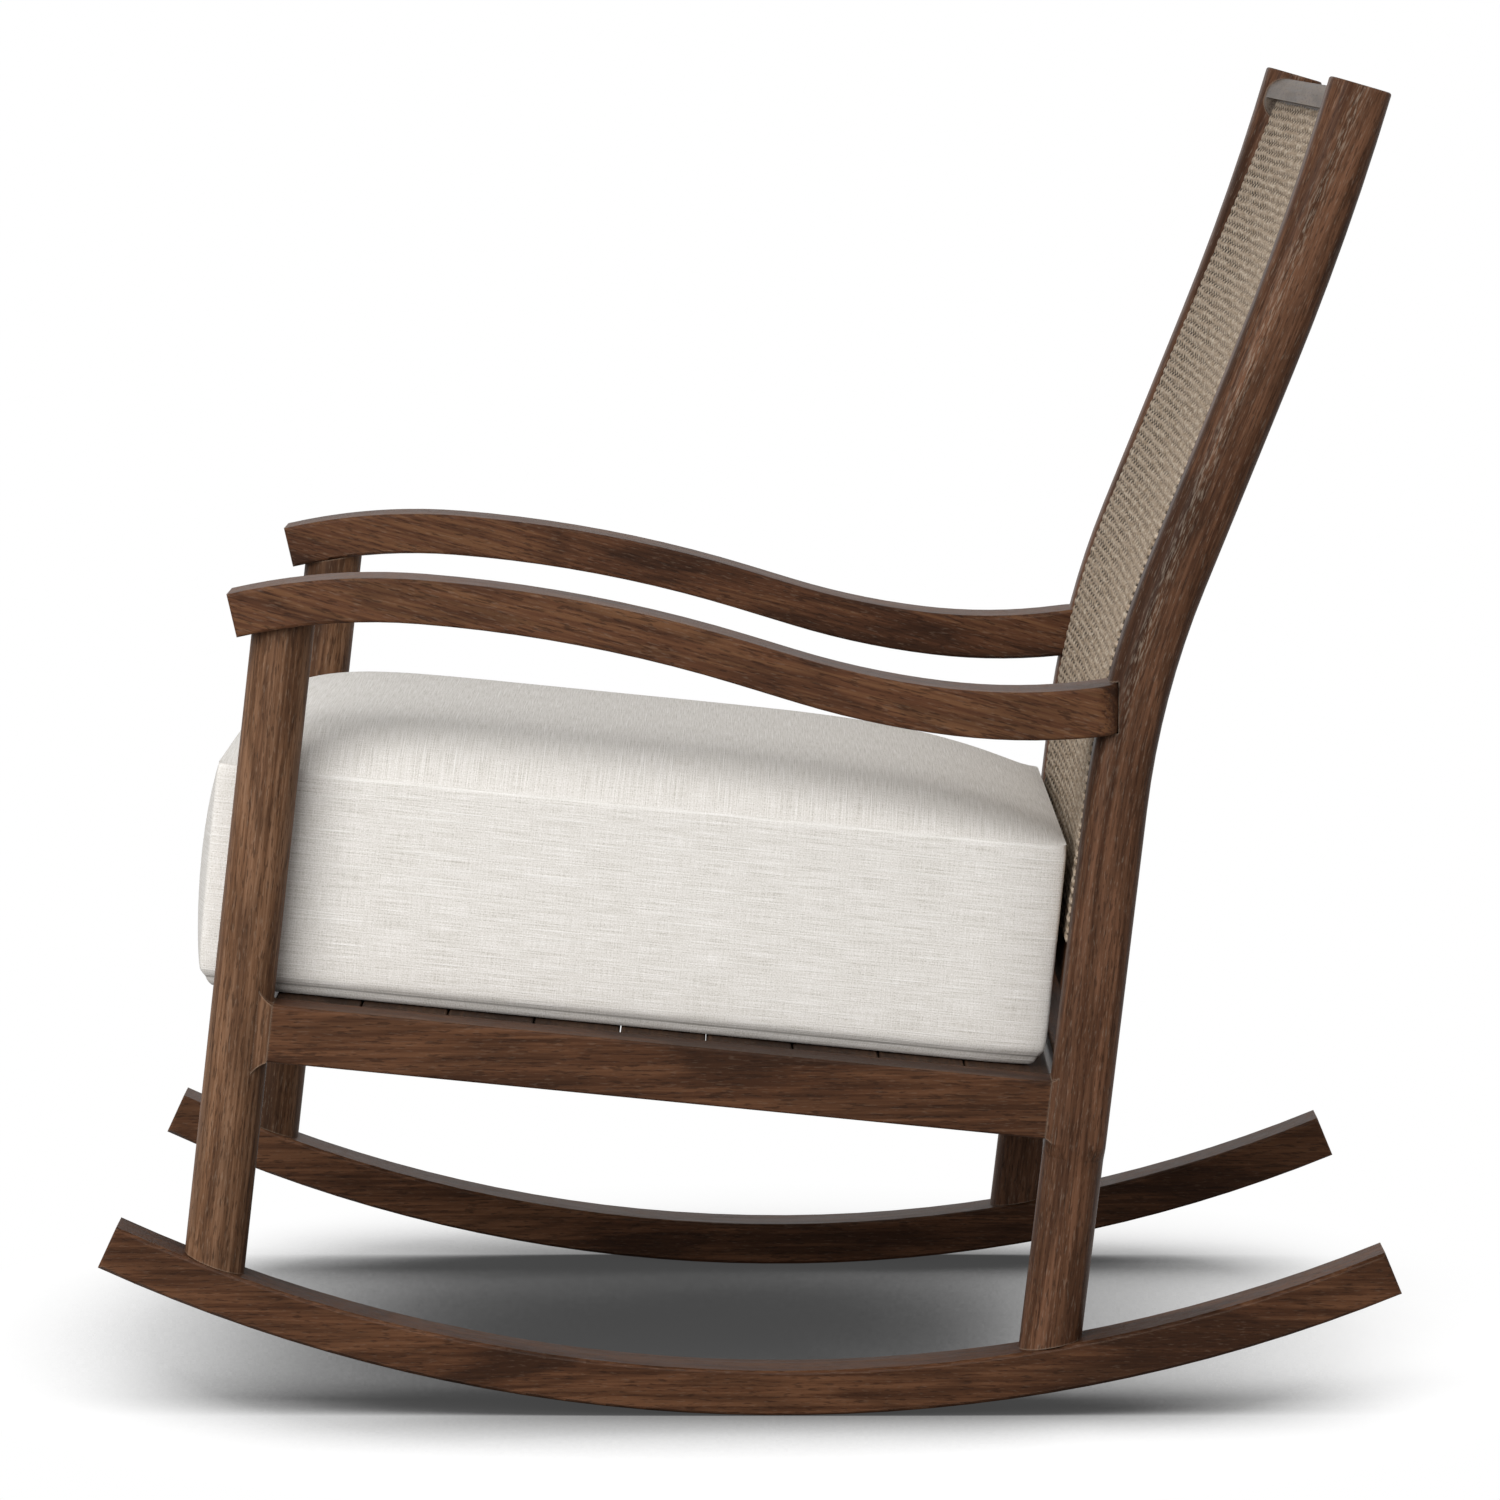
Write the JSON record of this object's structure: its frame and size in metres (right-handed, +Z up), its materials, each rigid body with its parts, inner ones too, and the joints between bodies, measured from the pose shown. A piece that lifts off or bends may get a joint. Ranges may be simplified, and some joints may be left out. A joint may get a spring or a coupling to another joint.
{
  "type": "rocking chair",
  "caption": "Wooden rocking chair with flowing arms on curved rockers, a tall leaning back of woven cord and a thick loose box cushion on a slatted seat.",
  "frame": {"origin": "on the floor under the middle of the chair", "axes": "+X towards the sitter's left, -Y the front, +Z up"},
  "size_m": [0.664, 0.951, 0.9733],
  "materials": {
    "dark_wood": "satin open-grain, dark brown stain",
    "pale_wood": "planed, unfinished",
    "dowel_wood": "fluted beech, unfinished",
    "steel": "zinc plated",
    "cord": "twisted beige cord, matt",
    "linen": "ivory linen weave, matt"
  },
  "bodies": {
    "chair": {"left_rocker": "dark_wood", "right_rocker": "dark_wood", "left_front_leg": "dark_wood", "right_front_leg": "dark_wood", "left_back_post": "dark_wood", "right_back_post": "dark_wood", "left_arm": "dark_wood", "right_arm": "dark_wood", "left_side_rail": "dark_wood", "right_side_rail": "dark_wood", "front_seat_rail": "dark_wood", "rear_seat_rail": "dark_wood", "top_back_rail": "dark_wood", "lower_back_rail": "dark_wood", "left_panel_stile": "pale_wood", "right_panel_stile": "pale_wood", "panel_top_batten": "pale_wood", "panel_bottom_batten": "pale_wood", "left_seat_cleat": "pale_wood", "right_seat_cleat": "pale_wood", "seat_slats": "pale_wood", "corner_blocks": "pale_wood", "rocker_dowels": "dowel_wood", "arm_leg_dowels": "dowel_wood", "arm_post_dowels": "dowel_wood", "seat_rail_dowels": "dowel_wood", "back_rail_dowels": "dowel_wood", "panel_dowels": "dowel_wood", "slat_screws": "steel", "cleat_screws": "steel", "corner_block_screws": "steel", "woven_back": "cord"},
    "cushion": {"seat_cushion": "linen"}
  },
  "joints": [
    {"name": "cushion_lift", "type": "slide", "parent": "chair", "child": "cushion", "axis": [0, 0.0993, 0.9951], "range_m": [0, 0.4]}
  ]
}
